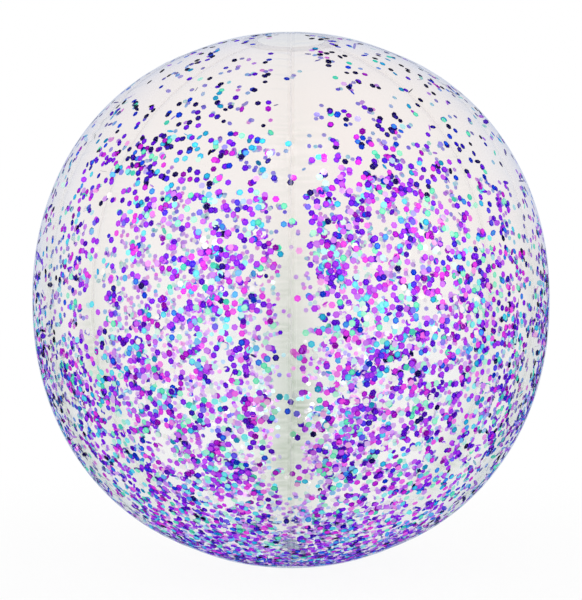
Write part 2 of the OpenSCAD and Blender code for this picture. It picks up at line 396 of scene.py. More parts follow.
def clear_pvc(name, low_tint, high_tint, edge_tint, milk, haze, shine, cloud_w, weld_haze=0.0):
    """Clear calendered PVC. It lets nearly everything through, with a faint cast that drifts in clouds from
    one tint near the ground to another at the top. It looks denser towards its edges, where the eye passes
    through more of it, and greyer where an attribute paints shade on its creases and in a band along its
    seams. A hot bar leaves a weld white and milky, and fuses the two plies of a lap into a clearer one. Its
    skin is glossy, with the faint orange peel of soft film."""
    material = bpy.data.materials.new(name)
    tree = new_tree(material)
    place = add(tree, "ShaderNodeTexCoord").outputs["Object"]
    weld = add(tree, "ShaderNodeAttribute", attribute_name="weld").outputs["Fac"]
    ply = add(tree, "ShaderNodeAttribute", attribute_name="ply").outputs["Fac"]
    # This attribute carries painted shade: darker on the slopes of the puckers, and in a grey band along
    # each seam
    crease_and_seam_shade = add(tree, "ShaderNodeAttribute", attribute_name="crease_and_seam_shade").outputs["Fac"]
    facing = add(tree, "ShaderNodeLayerWeight", {"Blend": 0.5}).outputs["Facing"]
    edge = add(tree, "ShaderNodeMath", {0: facing, 1: EDGE_POWER}, operation="POWER").outputs[0]
    cloud = add(tree, "ShaderNodeTexNoise", {"Vector": place, "Scale": 1 / cloud_w, "Detail": 3.0})
    peel = add(tree, "ShaderNodeTexNoise", {"Vector": place, "Scale": 1 / PEEL_W, "Detail": 1.0})
    skin = add(tree, "ShaderNodeBump", {"Height": peel.outputs["Fac"], "Strength": 0.25,
                                        "Distance": PEEL_DEPTH})

    height = add(tree, "ShaderNodeSeparateXYZ", {"Vector": place}).outputs["Z"]
    rise = add(tree, "ShaderNodeMapRange", {"Value": height, "From Min": -POLE_H, "From Max": POLE_H,
                                            "To Max": RISE_SHARE})
    drift = add(tree, "ShaderNodeMath", {0: cloud.outputs["Fac"], 1: CLOUD_SHARE, 2: rise.outputs[0]},
                operation="MULTIPLY_ADD")
    cast = add(tree, "ShaderNodeValToRGB", {"Fac": drift.outputs[0]})
    low, high = cast.color_ramp.elements
    low.position, high.position = CAST_START, CAST_END
    low.color, high.color = ink(low_tint), ink(high_tint)
    dense = add(tree, "ShaderNodeMix", {0: edge, 6: cast.outputs["Color"], 7: ink(edge_tint)},
                data_type="RGBA")
    # Painted shade of the creases and seams, mixed into the tint that the film lets through
    shaded_creases = add(tree, "ShaderNodeMix", {0: crease_and_seam_shade, 6: dense.outputs[2], 7: ink(CREASE_SHADE_TINT)},
                  data_type="RGBA")
    fused = add(tree, "ShaderNodeMath", {0: ply, 1: FUSED_CLEARER}, operation="MULTIPLY")
    through = add(tree, "ShaderNodeMix", {0: fused.outputs[0], 6: shaded_creases.outputs[2], 7: WHITE},
                  data_type="RGBA")
    milky = add(tree, "ShaderNodeMath", {0: weld, 1: weld_haze, 2: haze}, operation="MULTIPLY_ADD")
    mirror = add(tree, "ShaderNodeMath", {0: edge, 1: EDGE_SHINE * shine, 2: shine},
                 operation="MULTIPLY_ADD")

    clear = add(tree, "ShaderNodeBsdfTransparent", {"Color": through.outputs[2]})
    body = add(tree, "ShaderNodeBsdfPrincipled", {"Base Color": ink(milk), "Roughness": 0.35, "IOR": 1.53,
                                                  "Normal": skin.outputs["Normal"]})
    gloss = add(tree, "ShaderNodeBsdfGlossy", {"Roughness": 0.12, "Normal": skin.outputs["Normal"]})
    film = add(tree, "ShaderNodeMixShader", {0: milky.outputs[0], 1: clear.outputs[0], 2: body.outputs[0]})
    coated = add(tree, "ShaderNodeMixShader", {0: mirror.outputs[0], 1: film.outputs[0],
                                               2: gloss.outputs[0]})
    add(tree, "ShaderNodeOutputMaterial", {"Surface": coated.outputs[0]})
    return material


# Glitter foil: where a flake's rim begins, the shades that have one, the stops of its colours, its grain
RIM_START = 0.5
RIM_FULL = 0.95
RIMLESS_SHADE = 0.9
RIMMED_SHADE = 0.2
RIM_DEPTH = 0.16
DEEP_STOP = 0.12
MAIN_STOP = 0.4
GRAIN_W = 2 * MM
SATIN = 0.28
SATIN_SWING = 0.25


def glitter_foil(name, dark, deep, main, pale, glance):
    """Metallised PET film punched into hexagons. Each flake has its own shade, deep on the side that lies
    against the wall and paler on its inner side, a darker rim, and a satin mirror finish that takes another
    tint at a glance."""
    material = bpy.data.materials.new(name)
    tree = new_tree(material)
    shade = add(tree, "ShaderNodeAttribute", attribute_name="shade").outputs["Fac"]
    cut = add(tree, "ShaderNodeAttribute", attribute_name="cut").outputs["Fac"]
    border = add(tree, "ShaderNodeMapRange", {"Value": cut, "From Min": RIM_START, "From Max": RIM_FULL},
                 interpolation_type="SMOOTHSTEP")
    rimmed = add(tree, "ShaderNodeMapRange", {"Value": shade, "From Min": RIMLESS_SHADE,
                                              "From Max": RIMMED_SHADE})
    rim = add(tree, "ShaderNodeMath", {0: border.outputs[0], 1: rimmed.outputs[0]}, operation="MULTIPLY")
    edged = add(tree, "ShaderNodeMath", {0: rim.outputs[0], 1: -RIM_DEPTH, 2: shade},
                operation="MULTIPLY_ADD")
    tone = add(tree, "ShaderNodeValToRGB", {"Fac": edged.outputs[0]})
    stops = tone.color_ramp.elements
    stops[0].color, stops[1].color = ink(dark), ink(pale)
    stops.new(DEEP_STOP).color = ink(deep)
    stops.new(MAIN_STOP).color = ink(main)
    place = add(tree, "ShaderNodeTexCoord").outputs["Object"]
    grain = add(tree, "ShaderNodeTexNoise", {"Vector": place, "Scale": 1 / GRAIN_W})
    rough = add(tree, "ShaderNodeMath", {0: grain.outputs["Fac"], 1: SATIN_SWING, 2: SATIN},
                operation="MULTIPLY_ADD")
    foil = add(tree, "ShaderNodeBsdfPrincipled", {"Base Color": tone.outputs["Color"], "Metallic": 1.0,
                                                  "Roughness": rough.outputs[0],
                                                  "Specular Tint": ink(glance)})
    add(tree, "ShaderNodeOutputMaterial", {"Surface": foil.outputs[0]})
    return material


# The thin film of the gores is nearly colourless, and a little warm at the top
FILM = clear_pvc("clear_pvc_film", "#FCFCFC", "#FDFBFA", edge_tint="#EEF1F8", milk="#FFFFFF", haze=0.002,
                 shine=0.004, cloud_w=130 * MM, weld_haze=0.08)
# The film of the end patches is thicker, so it shows a little more of its cast
PATCH_FILM = clear_pvc("clear_pvc_patch_film", "#FAFBFC", "#FCFBFA", edge_tint="#F2F5F7", milk="#FFFFFF",
                       haze=0.003, shine=0.004, cloud_w=60 * MM, weld_haze=0.05)
# The moulded valve is soft, thick and bluish, with milky walls and dark edges
SOFT_PVC = clear_pvc("soft_moulded_pvc", "#F8FBFD", "#F4F8FB", edge_tint="#8FA9BD", milk="#F4F7FA",
                     haze=0.13, shine=0.03, cloud_w=8 * MM)

# Film pieces

# Welds, the grid of a gore, and the places of its columns across a lap and its joggle
WELD_HALF_W = 0.7 * MM
WELD_PRESS = 0.1 * MM
PLY_GAP = 0.05 * MM
TIP_ANGLE = outline_angle(TIP_R)
GORE_ROWS = 321
GORE_MIDDLE = 46
CROWDING = 0.8
LAP_STATIONS = np.array([-3, -2.2, -1.6, -1.2, -0.8, -0.4, 0, 0.4, 0.8, 1.2, 1.6, 2.2, 3]) * MM
JOGGLE_STATIONS = np.array([-5, -4.5, -4, -3.5]) * MM

# Painted crease shade: the slope at which it is full, how much of it shows outside the lower half, the width
# and greyness of a band of painted shade along each seam, and the outline angles between which both show
FULL_CREASE = 0.7
FAINT_CREASE = 0.3
SEAM_SHADE_W = 22 * MM
SEAM_SHADE_GREY = 0.25
GREY_START = 25 * DEG
GREY_FULL = -20 * DEG
GREY_FADE = -40 * DEG
GREY_END = -68 * DEG


def weld_track(across):
    """Bell curve across a weld, 1 on its line."""
    return np.exp(-(across / WELD_HALF_W) ** 2)


def crease_and_seam_shading(turn, angle, radius):
    """Painted shade on the film: its slope against the outline, for shade on the puckers, and a bell curve
    of the distance to a seam, for a grey band of painted shade along it. Both show most in the lower half."""
    lie = relief(turn, angle, radius)
    tilt = np.hypot(np.gradient(lie, axis=0) / np.gradient(run_along(angle), axis=0),
                    np.gradient(lie, axis=1) / (radius * np.gradient(turn, axis=1)))
    low_down = ramp(angle, GREY_START, GREY_FULL) * ramp(angle, GREY_END, GREY_FADE)
    shown = FAINT_CREASE + (1 - FAINT_CREASE) * low_down
    # Painted shade: a grey band along each seam, strongest in the lower half
    seam_shade = np.exp(-(seam_distance(turn, radius)[1] / SEAM_SHADE_W) ** 2)
    return np.clip(tilt / FULL_CREASE, 0, 1) * shown + SEAM_SHADE_GREY * seam_shade * low_down


def gore(k):
    """One gore as a sheet over the outline angle and a turn from seam k to seam k + 1. Its first edge covers
    the lap of seam k. At seam k + 1 it steps down by one film and runs on under the next gore. In between,
    the columns are spaced by t less a sine of t, which crowds them towards the seams."""
    angle = np.linspace(-TIP_ANGLE, TIP_ANGLE, GORE_ROWS)[:, None]
    radius = outline(angle)[0]
    margin = np.concatenate([JOGGLE_STATIONS, LAP_STATIONS])
    start = FRONT + k * GORE_ANGLE
    first = start + np.arcsin(LAP_STATIONS / radius)
    last = start + GORE_ANGLE + np.arcsin(margin / radius)
    t = np.linspace(0, 1, GORE_MIDDLE + 2)[1:-1]
    t = t - CROWDING * np.sin(2 * np.pi * t) / (2 * np.pi)
    middle = first[:, -1:] + (last[:, :1] - first[:, -1:]) * t
    turn = np.concatenate([first, middle, last], 1)

    flush, lapped = 0 * LAP_STATIONS, 0 * LAP_STATIONS + 1
    joggle = smooth((margin + LAP_W / 2 + JOGGLE_W) / JOGGLE_W)
    level = np.concatenate([flush, 0 * t, joggle])
    weld = np.concatenate([weld_track(LAP_STATIONS), 0 * t, weld_track(margin)])
    ply = np.concatenate([lapped, 0 * t, 0 * JOGGLE_STATIONS, lapped])
    depth = level * (FILM_T + PLY_GAP) + weld * WELD_PRESS
    outer = wall(turn, angle, depth)
    inner = wall(turn, angle, depth + FILM_T)
    # The crease values are painted shade on the puckers and along the seams
    values = {"weld": weld + 0 * turn, "ply": ply + 0 * turn, "crease_and_seam_shade": crease_and_seam_shading(turn, angle, radius)}
    piece = shell(PANELS[k] + "_film", outer, inner, FILM, values)
    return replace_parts(piece, PANELS[k])


# End patches: distances of welds from the gores' tips, the patch's edge and the flange's, and their grids
TIP_WELD = 3 * MM
EDGE_WELD = 2.5 * MM
FLANGE_WELD = 2.5 * MM
PATCH_GRID = 121
PATCH_RINGS = 70
PATCH_COLUMNS = 180


def patch_height(radius, lift):
    """Height of an end patch: the outline, level inside the flat radius, lifted along its normal."""
    height, _, out_z = outline(outline_angle(np.maximum(radius, FLAT_R)))[1:]
    return height + lift * out_z


def patch_weld(radius):
    """The two weld rings of a patch, outside the tips of the gores and inside its own edge."""
    return weld_track(radius - TIP_R - TIP_WELD) + weld_track(radius - PATCH_R + EDGE_WELD)


def top_patch():
    """Disc of film: a square of parameters u and v pressed into a circle, x = u sqrt(1 - v^2 / 2), and y
    alike."""
    u, v = np.meshgrid(np.linspace(-1, 1, PATCH_GRID), np.linspace(-1, 1, PATCH_GRID))
    x = PATCH_R * u * np.sqrt(1 - v * v / 2)
    y = PATCH_R * v * np.sqrt(1 - u * u / 2)
    radius = np.hypot(x, y)
    weld = patch_weld(radius)
    sink = weld * WELD_PRESS
    outer = np.stack([x, y, patch_height(radius, PATCH_T) - sink], -1)
    inner = np.stack([x, y, patch_height(radius, PLY_GAP) - sink], -1)
    piece = shell("top_patch_film", outer, inner, PATCH_FILM, {"weld": weld})
    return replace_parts(piece, "top_patch")


def bottom_patch():
    """Ring of film over a radius and a turn, with the valve's hole in it and a weld to its flange."""
    turn = np.linspace(0, 2 * np.pi, PATCH_COLUMNS, endpoint=False)[None]
    radius = np.linspace(HOLE_R, PATCH_R, PATCH_RINGS)[:, None] + 0 * turn
    x, y = radius * np.cos(turn), radius * np.sin(turn)
    weld = patch_weld(radius) + weld_track(radius - FLANGE_R + FLANGE_WELD)
    sink = weld * WELD_PRESS
    inner = np.stack([x, y, sink - patch_height(radius, PLY_GAP)], -1)
    outer = np.stack([x, y, sink - patch_height(radius, PATCH_T)], -1)
    piece = shell("bottom_patch_film", outer, inner, PATCH_FILM, {"weld": weld}, ring=True)
    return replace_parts(piece, "bottom_patch")


for k in range(GORES):
    gore(k)
top_patch()
bottom_patch()

# Valve

# Rounding of moulded edges, and the gap at a bead's ends
SOFT_EDGE = 0.25 * MM
LUG_EDGE = SOFT_EDGE / 2
THIN_EDGE = 0.1 * MM
BEAD_END_GAP = 0.15 * MM

# Flange: its thin outer edge, and its ribs as distances out from the hole
FLANGE_EDGE_T = 0.3 * MM
FLANGE_TAPER_W = 1.2 * MM
RIB_PLACES = np.array([4, 2.5]) * MM
RIB_FOOT = 0.5 * MM
RIB_CREST = 0.2 * MM
RIB_H = 0.25 * MM


def valve_flange():
    """Ring whose outer edge thins out, with two low weld ribs on its inner side."""
    low, high = FLANGE_LOW_Z - GROUND_Z, FLANGE_TOP_Z - GROUND_Z
    rib = ((RIB_FOOT, 0), (RIB_CREST, RIB_H), (-RIB_CREST, RIB_H), (-RIB_FOOT, 0))
    ribs = [(HOLE_R + place + out, high + rise) for place in RIB_PLACES for out, rise in rib]
    corners = [(HOLE_R, low), (FLANGE_R, low), (FLANGE_R, low + FLANGE_EDGE_T),
               (FLANGE_R - FLANGE_TAPER_W, high), *ribs, (HOLE_R, high)]
    moulding("valve_flange_ring", "valve_flange", "ball", [turned(rounded(corners, SOFT_EDGE))])


# Cup: places along its profile, from 0 at the flange to 1 at the stem, and shares and folds of its slope
WEB_POINTS = 90
SHOULDER_START = 0.12
SHOULDER_END = 0.34
WALL_END = 0.36
SLOPE_START = 0.2
SLOPE_RISE = 0.58
SLOPE_BEND = 0.25
FOLD_WAVES = 4
FOLD_H = 0.3 * MM


def valve_web():
    """Folding cup, a closed profile turned round the pole axis: a straight wall inside the flange, a soft
    shoulder, then a slope in to the stem with low folds, a sine that dies away at both ends of the slope.
    The cup's thickness is laid off square to it."""
    t = np.linspace(0, 1, WEB_POINTS)
    shoulder = ramp(t, SHOULDER_START, SHOULDER_END)
    lean = np.clip((t - SLOPE_START) / (1 - SLOPE_START), 0, 1)
    low_h, high_h = WEB_LOW_Z - GROUND_Z + WEB_T / 4, WEB_TOP_Z - GROUND_Z - WEB_T
    inward = lean * (1 - SLOPE_BEND + SLOPE_BEND * shoulder * lean)
    r = HOLE_R - WEB_T / 2 - (HOLE_R - STEM_R - WEB_T) * inward
    h = low_h + (high_h - low_h) * ((1 - SLOPE_RISE) * smooth(t / WALL_END) + SLOPE_RISE * lean)
    fold = FOLD_H * np.sin(2 * np.pi * FOLD_WAVES * lean) * np.sin(np.pi * lean)
    run_r, run_h = np.gradient(r), np.gradient(h)
    size = np.hypot(run_r, run_h)
    square = np.stack([run_h / size, -run_r / size], -1)
    middle = np.stack([r, h], -1) + fold[:, None] * square
    half = WEB_T / 2 * square
    profile = np.concatenate([middle + half, (middle - half)[::-1]])
    profile[:, 0] = np.clip(profile[:, 0], STEM_R + SEAT_GAP, HOLE_R - SEAT_GAP)
    piece = moulding("valve_web_cup", "valve_web", "ball", [turned(profile)])
    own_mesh(piece)


def bead(middle, radius, width):
    """Round bar across the valve, a little shorter than the groove that it lies in. Its ends are eased by a
    quarter of its radius."""
    half = width / 2 - BEAD_END_GAP
    return bar(np.array(arc(middle, radius, 0, 2 * np.pi)[:-1]), -half, half, radius / 4, SIDEWAYS)


# Stem: the room behind the nub, and the lug and the ear that hold the hinge beads
MOUTH_SPARE = 0.1 * MM
ROOT_DEPTH = 0.4 * MM
LUG_WALL = 0.6 * MM
LUG_H = 1.8 * MM
EAR_WALL = 0.5 * MM
EAR_H = 1.6 * MM


def valve_stem():
    """Tube with a bore, a wider mouth and a rim round it. A lug on its rim takes the strap's bead from
    below, and an ear at its inner end takes the flap's bead from above, both as side outlines with a round
    groove."""
    mouth_h = RIM_H + NUB_L + MOUTH_SPARE
    tube = [(BORE_R, STEM_END_H), (BORE_R, mouth_h), (MOUTH_R, mouth_h), (MOUTH_R, RIM_H), (RIM_R, RIM_H),
            (RIM_R, RIM_H + RIM_T), (STEM_R, RIM_H + RIM_T), (STEM_R, STEM_END_H)]
    root = STEM_R - ROOT_DEPTH
    groove = arc((HINGE_R, RIM_H), BEAD_R + BEAD_GAP, np.pi, 0)
    lug_x, lug_h = HINGE_R + BEAD_R + LUG_WALL, RIM_H + LUG_H
    lug = [(root, RIM_H), *groove, (lug_x, RIM_H), (lug_x, lug_h), (root, lug_h)]
    dip = np.arcsin(FLAP_T / 2 / (FLAP_BEAD_R + BEAD_GAP))
    seat = arc((-FLAP_HINGE_R, STEM_END_H + FLAP_T / 2), FLAP_BEAD_R + BEAD_GAP, -dip, dip - np.pi)
    ear_x, ear_h = -FLAP_HINGE_R - FLAP_BEAD_R - EAR_WALL, STEM_END_H - EAR_H
    ear = [(ear_x, ear_h), (-root, ear_h), (-root, STEM_END_H), *seat, (ear_x, STEM_END_H)]
    moulding("valve_stem_tube", "valve_stem", "stem", [
        turned(rounded(tube, SOFT_EDGE)),
        bar(rounded(lug, SOFT_EDGE), -STRAP_W / 2, STRAP_W / 2, LUG_EDGE, SIDEWAYS),
        bar(rounded(ear, SOFT_EDGE), -FLAP_HINGE_W / 2, FLAP_HINGE_W / 2, LUG_EDGE, SIDEWAYS)])


# Plug: its dished face, the seal groove in its nub, and its thumb lip with ridges
DISH = 0.35 * MM
DISH_EDGE_W = 0.7 * MM
SEAL_H = 1.6 * MM
SEAL_W = 0.9 * MM
SEAL_FLANK = 0.25 * MM
SEAL_DEPTH = 0.2 * MM
LIP_CORNER_R = 1.2 * MM
RIDGE_PLACES = np.array([0.6, 1.1]) * MM
RIDGE_R = 0.15 * MM
RIDGE_W = 2.7 * MM


def valve_plug():
    """Cap with a dished face, a tapered nub with a seal groove, and a thumb lip with two grip ridges. On the
    far side, the nub's tip is as far from the hinge line as its root, so that it swings out of the mouth."""
    reach = HINGE_R + NUB_R
    tip_r = np.sqrt(reach ** 2 - NUB_L ** 2) - HINGE_R
    taper = (NUB_R - tip_r) / NUB_L
    seal = ((0, 0), (SEAL_FLANK, SEAL_DEPTH), (SEAL_W - SEAL_FLANK, SEAL_DEPTH), (SEAL_W, 0))
    groove = [(NUB_R - taper * (SEAL_H + up) - cut, RIM_H + SEAL_H + up) for up, cut in seal]
    seat_h, nub_h = RIM_H - SEAT_GAP, RIM_H + NUB_L
    dish_h = RECESS + DISH
    corners = [(0, dish_h), (MOUTH_R, dish_h), (MOUTH_R + DISH_EDGE_W, RECESS), (RIM_R, RECESS),
               (RIM_R, seat_h), (NUB_R, seat_h), *groove, (tip_r, nub_h), (0, nub_h)]
    lip_x, half = -RIM_R - LIP_REACH, STRAP_W / 2
    lip = rounded([(lip_x, -half), (-MOUTH_R, -half), (-MOUTH_R, half), (lip_x, half)], LIP_CORNER_R)
    ridges = [bead((lip_x + place, RECESS), RIDGE_R, RIDGE_W) for place in RIDGE_PLACES]
    moulding("valve_plug_cap", "valve_plug", "plug", [
        turned_solid(rounded_to_axis(corners, SOFT_EDGE)),
        bar(lip, RECESS, RECESS + CAP_T / 2, LUG_EDGE, UPWARDS), *ridges])


# Strap: how far it runs into the cap, its narrower middle, its corners, and its gap under the rim
STRAP_ROOT = 0.3 * MM
STRAP_WAIST = 0.3 * MM
STRAP_CORNER_R = 0.6 * MM
STRAP_GAP = 0.2 * MM


def plug_strap():
    """Thin flat strap from the cap to the bead on its hinge line, a little narrower in the middle."""
    half, waist, root = STRAP_W / 2, STRAP_W / 2 - STRAP_WAIST, RIM_R - STRAP_ROOT
    middle = (root + HINGE_R) / 2
    band = rounded([(root, -half), (middle, -waist), (HINGE_R, -half), (HINGE_R, half), (middle, waist),
                    (root, half)], STRAP_CORNER_R)
    moulding("plug_strap_band", "plug_strap", "plug", [
        bar(band, RIM_H - BEAD_R, RIM_H - STRAP_GAP, THIN_EDGE, UPWARDS),
        bead((HINGE_R, RIM_H), BEAD_R, STRAP_W)])


# Flap: how far outside the bore its neck starts, and the neck's corners
NECK_OUT = 0.6 * MM
NECK_CORNER_R = 0.4 * MM


def check_flap():
    """Thin disc over the bore, with a neck to the bead on its hinge line."""
    low, high, half = STEM_END_H + SEAT_GAP, STEM_END_H + FLAP_T, FLAP_HINGE_W / 2
    corners = [(0, low), (FLAP_R, low), (FLAP_R, high), (0, high)]
    neck_x = -BORE_R - NECK_OUT
    neck = rounded([(-FLAP_HINGE_R, -half), (neck_x, -half), (neck_x, half), (-FLAP_HINGE_R, half)],
                   NECK_CORNER_R)
    moulding("check_flap_disc", "check_flap", "flap", [
        turned_solid(rounded_to_axis(corners, SOFT_EDGE)),
        bar(neck, low, high, THIN_EDGE, UPWARDS),
        bead((-FLAP_HINGE_R, STEM_END_H + FLAP_T / 2), FLAP_BEAD_R, FLAP_HINGE_W)])


valve_flange()
valve_web()
valve_stem()
valve_plug()
plug_strap()
check_flap()

# Glitter

# Colours of each foil: dark, deep, main, pale, and at a glance. The dark one is reached mostly where painted
# shade deepens the flakes at the top and the sides
FOILS = {
    "violet": ("#5308BE", "#6E0EF8", "#CC46FF", "#E9C4FF", "#B85CFF"),
    "magenta": ("#8C07AC", "#B80CE0", "#FF4CF8", "#FFC6F8", "#FA6AFF"),
    "indigo": ("#140653", "#1C0B6E", "#4D28FF", "#C6C0FF", "#0A0538"),
    "blue": ("#0735BE", "#0D48F8", "#5CC4FF", "#D2EAFF", "#387AFF"),
    "cyan": ("#1F99C4", "#2CC8FF", "#80FFFF", "#D6FCFF", "#4AD2FF"),
    "mint": ("#4CD8C0", "#74FFCC", "#BCFFE6", "#E4FFF6", "#7AF6FF"),
    "pearl": ("#F4F2FA", "#FAF8FF", "#FFFFFA", "#FFFFFF", "#FFFFFF"),
}
# Share of each foil among the flakes at the top and the sides, lower down, and in the heap. The first
# column, weighted by the painted shade of the top and the sides, leans to dark indigo and blue as part of
# that shade
SHARES = {
    "violet": (0.12, 0.38, 0.37),
    "magenta": (0.05, 0.16, 0.13),
    "indigo": (0.52, 0.06, 0.08),
    "blue": (0.18, 0.06, 0.15),
    "cyan": (0.08, 0.11, 0.08),
    "mint": (0.05, 0.11, 0.04),
    # Pearl is a white foil; its larger share lower down also puts white flakes where glints showed, as
    # painted glints
    "pearl": (0.01, 0.12, 0.15),
}
KINDS = list(FOILS)

# Outline angles between which the heap, the painted shade of the top's flakes and the swap of pearl for
# violet set in
HEAP_START = -50 * DEG
HEAP_FULL = -64 * DEG
TOP_SHADE_START = 8 * DEG
TOP_SHADE_FULL = 48 * DEG
PEARL_FADE_START = -8 * DEG
PEARL_FADE_FULL = 22 * DEG

# Flakes at the two sides as seen from the front, by the cosine of their azimuth, and how much painted shade
# they get
SIDE_START = 0.72
SIDE_FULL = 0.94
SIDE_PAINTED_SHADE = 0.5


def heaped(angle):
    """1 low down, where the loose flakes have come to rest, and 0 on the walls above."""
    return ramp(angle, HEAP_START, HEAP_FULL)


def top_and_side_shade(turn, angle):
    """Weight of the painted shade: 1 at the top, where the flakes are painted darkest, less at the two sides
    of the wall as seen from the front, and 0 elsewhere.
    """
    side_on = ramp(np.abs(np.cos(turn)), SIDE_START, SIDE_FULL) * (1 - heaped(angle))
    return np.maximum(ramp(angle, TOP_SHADE_START, TOP_SHADE_FULL), SIDE_PAINTED_SHADE * side_on)


# Density of the flakes at the top, and its steps on the way down: amount, first and last outline angle
TOP_DENSITY = 0.06
DENSITY_STEPS = [(0.23, 43 * DEG, 13 * DEG), (0.26, 12 * DEG, -10 * DEG), (-0.1, -20 * DEG, -36 * DEG),
                 (0.66, -54 * DEG, -76 * DEG)]
# Flakes along a seam: their share, and the distances between which it grows to the full one
SEAM_SHARE = 0.1
SEAM_BARE = 6 * MM
SEAM_FILLED = 23 * MM
# Extra flakes on the front, and on the front and back against the sides
FRONT_EXTRA = 0.25
FACING_EXTRA = 0.4
# Clouds of flakes: amount, waves in a turn, radians for each radian of outline angle, and phase
CLOUDS = [(0.34, 2, 6, 170 * DEG), (0.2, 7, -9, 2.0), (0.16, 13, 11, 0.0)]
LOW_CLOUD_SHARE = 0.35
LOW_CLOUD = -30 * DEG


def flake_density(turn, angle):
    """How thickly flakes lie on the wall: few at the top, more from the shoulder down, a heap at the
    bottom. Above the heap they are fewer along the seams and at the sides, and lie in clouds: sines of the
    azimuth and the outline angle."""
    across = seam_distance(turn, outline(angle)[0])[1]
    round_to = turn - FRONT
    heap = heaped(angle)
    sunk = TOP_DENSITY + sum(amount * ramp(angle, first, last) for amount, first, last in DENSITY_STEPS)
    along_seam = SEAM_SHARE + (1 - SEAM_SHARE) * ramp(np.abs(across), SEAM_BARE, SEAM_FILLED)
    sides = 1 + FRONT_EXTRA * np.cos(round_to) + FACING_EXTRA * np.cos(2 * round_to)
    swell = sum(amount * np.sin(waves * turn + climb * angle + phase)
                for amount, waves, climb, phase in CLOUDS)
    clouds = 1 + swell * (LOW_CLOUD_SHARE + (1 - LOW_CLOUD_SHARE) * ramp(angle, LOW_CLOUD, 0))
    return sunk * (heap + (1 - heap) * along_seam * sides * clouds)


# Draws of the flakes' places: points tried, most flakes, and the density at which every point is kept
TRIES = 180000
FLAKE_COUNT = 14000
FULL_DENSITY = 1.3
# Flakes that lie in rows: their share, places in the row, its least and most pitch, and scatter about it
ROW_SHARE = 0.55
ROW_PLACES = [-2, -1, 1, 2]
ROW_PITCH = (2.2 * MM, 4.2 * MM)
ROW_SCATTER = 0.9 * MM
# Least radius for a step round the pole axis, and room left round the valve's flange
POLE_ROOM = 20 * MM
VALVE_ROOM = 4 * MM


def flake_places():
    """Azimuths and outline angles of the flakes. Points spread evenly over the wall are kept with the
    chance that the density gives. Part of them then move next to another flake, in short rows and clumps."""
    turn = rng.uniform(0, 2 * np.pi, TRIES) + FRONT
    angle = np.arcsin(rng.uniform(-1, 1, TRIES))
    keep = rng.uniform(0, FULL_DENSITY, TRIES) < flake_density(turn, angle)
    turn, angle = turn[keep][:FLAKE_COUNT], angle[keep][:FLAKE_COUNT]
    count = len(turn)
    host = rng.integers(0, count, count)
    joins = rng.uniform(0, 1, count) < ROW_SHARE
    heading = rng.uniform(0, 2 * np.pi, count)[host]
    step = rng.choice(ROW_PLACES, count) * rng.uniform(*ROW_PITCH, count)
    east = step * np.cos(heading) + rng.normal(0, ROW_SCATTER, count)
    north = step * np.sin(heading) + rng.normal(0, ROW_SCATTER, count)
    radius = np.maximum(outline(angle[host])[0], POLE_ROOM)
    turn = np.where(joins, turn[host] + east / radius, turn)
    angle = np.where(joins, angle[host] + north / EQUATOR_R, angle)
    off_valve = outline(angle)[0] > FLANGE_R + VALVE_ROOM
    return turn[off_valve], angle[off_valve]


# Flakes whose layers are counted at a time
LAYER_BLOCK = 200


def layers(points):
    """For each flake, the number of earlier flakes that it lies on, counted in blocks of nearly the same
    height."""
    order = np.argsort(points[:, 2])
    heights = points[order, 2]
    under = np.zeros(len(points), int)
    for block in np.array_split(np.arange(len(points)), len(points) // LAYER_BLOCK):
        reach = [heights[block[0]] - FLAKE_AF, heights[block[-1]] + FLAKE_AF]
        low, high = np.searchsorted(heights, reach)
        mine, others = order[block], order[low:high]
        gap = np.linalg.norm(points[mine, None] - points[None, others], axis=-1)
        under[mine] = np.sum((gap < FLAKE_AF) & (others[None] < mine[:, None]), 1)
    return under


# A flake has two faces of six corners and a middle, each a fan of triangles, and six sides of two triangles
HEX = 6
FACE_POINTS = HEX + 1
FLAKE_POINTS = 2 * FACE_POINTS
HERE = np.arange(HEX)
NEXT = (HERE + 1) % HEX
MIDDLE = 0 * HERE + HEX
FLAKE_FACES = np.concatenate([np.stack(corner, 1) for corner in (
    (HERE, NEXT, MIDDLE), (NEXT + FACE_POINTS, HERE + FACE_POINTS, MIDDLE + FACE_POINTS),
    (NEXT, HERE, HERE + FACE_POINTS), (NEXT, HERE + FACE_POINTS, NEXT + FACE_POINTS))])
FLAKE_R = FLAKE_AF / np.sqrt(3)

# How the flakes lie: spread of their tilt, and shares of loose and upright ones with their tilts
TILT_SPREAD = 5 * DEG
LOOSE_SHARE = 0.14
LOOSE_TILT = (12 * DEG, 40 * DEG)
UPRIGHT_SHARE = 0.03
UPRIGHT_TILT = (55 * DEG, 85 * DEG)
# Room under the flakes: off the film, more of it near the step of a lap, and for each flake underneath
WALL_GAP = 0.2 * MM
STEP_GAP = 0.4 * MM
STEP_START = 18 * MM
STEP_FULL = 8 * MM
MOST_LAYERS = 7
# Unevenness of the flakes: spread of their size, and of the height of their middle
SIZE_SPREAD = 0.06
DOME_SPREAD = 0.07 * MM


